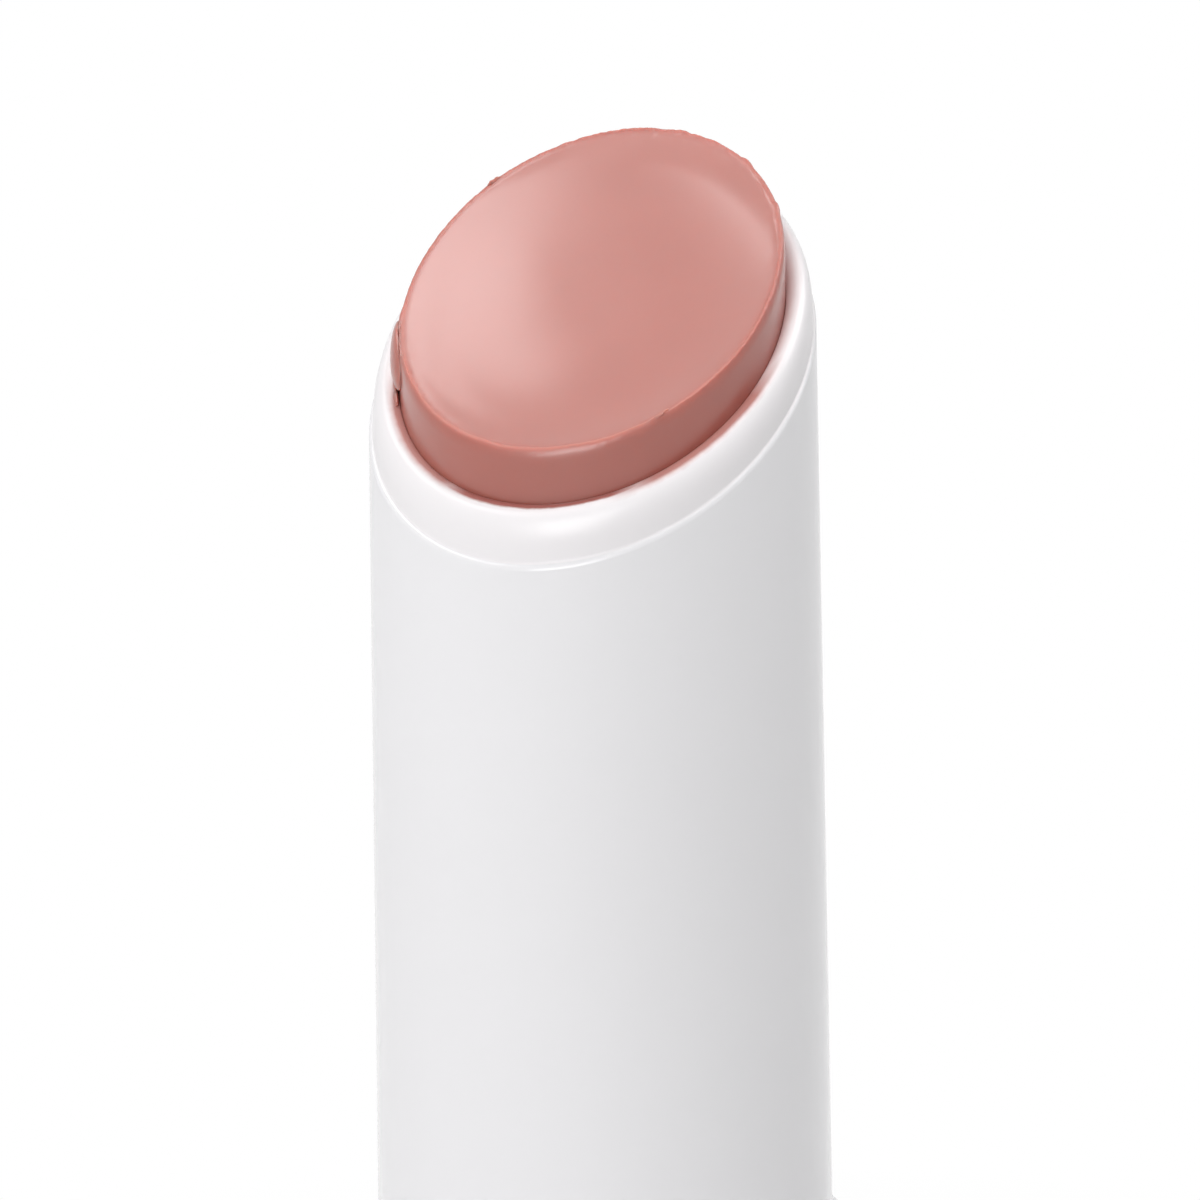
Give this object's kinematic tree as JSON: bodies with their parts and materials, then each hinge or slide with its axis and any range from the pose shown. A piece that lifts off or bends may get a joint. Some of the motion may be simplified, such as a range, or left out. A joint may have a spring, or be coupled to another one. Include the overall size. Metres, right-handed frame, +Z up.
{
  "type": "twist-up lip tint stick",
  "caption": "Twist-up lip tint stick: a slim white tube with a slanted mouth, a dished bullet of tint, and a wider base that turns to raise it.",
  "frame": {"origin": "centre of the base's underside, on the stick's axis, on the plane that the stick stands on", "axes": "+Z up along the stick's axis; the mouth slants down towards -Y; +X to the right when seen from the low side"},
  "size_m": [0.019, 0.019, 0.0689],
  "materials": {
    "gloss_white": "glossy white moulded plastic",
    "liner_white": "satin-gloss white moulded plastic",
    "tint": "waxy satin dusty-pink lip tint; matte plastic stands in for wax",
    "natural_plastic": "natural acetal, satin",
    "silicone": "translucent grey silicone, satin",
    "steel": "turned mild steel",
    "label_paper": "uncoated white paper"
  },
  "bodies": {
    "barrel": {"inner_sleeve": "liner_white", "outer_shell": "gloss_white", "collar": "gloss_white", "cap_grip_ring": "silicone"},
    "carriage": {"bullet": "tint", "bullet_cup": "natural_plastic", "lead_nut": "natural_plastic"},
    "drive": {"lead_screw": "natural_plastic", "drag_ring": "silicone", "thrust_washer": "natural_plastic", "base_core": "natural_plastic", "base_shell": "gloss_white", "base_weight": "steel", "bottom_disc": "gloss_white", "shade_label": "label_paper"}
  },
  "joints": [
    {"name": "base_twist", "type": "hinge", "parent": "barrel", "child": "drive", "pos_m": [0, 0, 0], "axis": [0, 0, 1], "range_deg": [-270, 1485]},
    {"name": "bullet_slide", "type": "slide", "parent": "barrel", "child": "carriage", "axis": [0, 0, 1], "range_m": [-0.003, 0.0165]}
  ],
  "couplings": [
    {"joint": "bullet_slide", "follows": "base_twist", "m_per_rad": 0.00063662}
  ]
}
